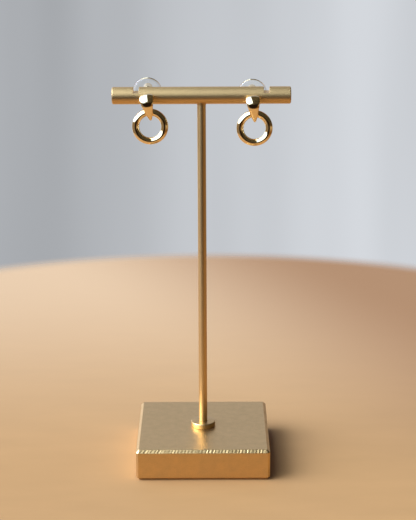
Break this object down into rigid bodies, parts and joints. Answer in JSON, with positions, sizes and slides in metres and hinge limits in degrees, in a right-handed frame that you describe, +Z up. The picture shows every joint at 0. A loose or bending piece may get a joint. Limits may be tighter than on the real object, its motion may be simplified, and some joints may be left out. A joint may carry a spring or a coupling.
{
  "type": "pair of drop earrings on a t-bar stand",
  "caption": "Pair of horn-shaped stud earrings, each with a free-hanging ring and a clear comfort disc, on a square-based T-bar display stand.",
  "frame": {"origin": "centre of the base's underside", "axes": "+Z up along the post, +X along the bar to the viewer's right, -Y towards the viewer, the side the claws face"},
  "size_m": [0.065, 0.05, 0.1469],
  "materials": {
    "satin_gold": "satin champagne-gold plating over steel, fine bead-blasted grain",
    "polished_gold": "mirror-polished yellow gold plating",
    "clear_silicone": "clear, smooth, slightly glossy silicone"
  },
  "bodies": {
    "stand": {"base_block": "satin_gold", "post_collar": "satin_gold", "post": "satin_gold", "cross_bar": "satin_gold", "left_stud": "polished_gold", "left_back_disc": "clear_silicone", "left_back_core": "polished_gold", "right_stud": "polished_gold", "right_back_disc": "clear_silicone", "right_back_core": "polished_gold"},
    "left_ring": {"left_drop_ring": "polished_gold"},
    "right_ring": {"right_drop_ring": "polished_gold"}
  },
  "joints": [
    {"name": "left_ring_swing", "type": "hinge", "parent": "stand", "child": "left_ring", "pos_m": [-0.01865, -0.00372, 0.1354], "axis": [-1, 0, 0], "range_deg": [-90, 165]},
    {"name": "right_ring_swing", "type": "hinge", "parent": "stand", "child": "right_ring", "pos_m": [0.01924, -0.00372, 0.1347], "axis": [-1, 0, 0], "range_deg": [-90, 165]}
  ]
}
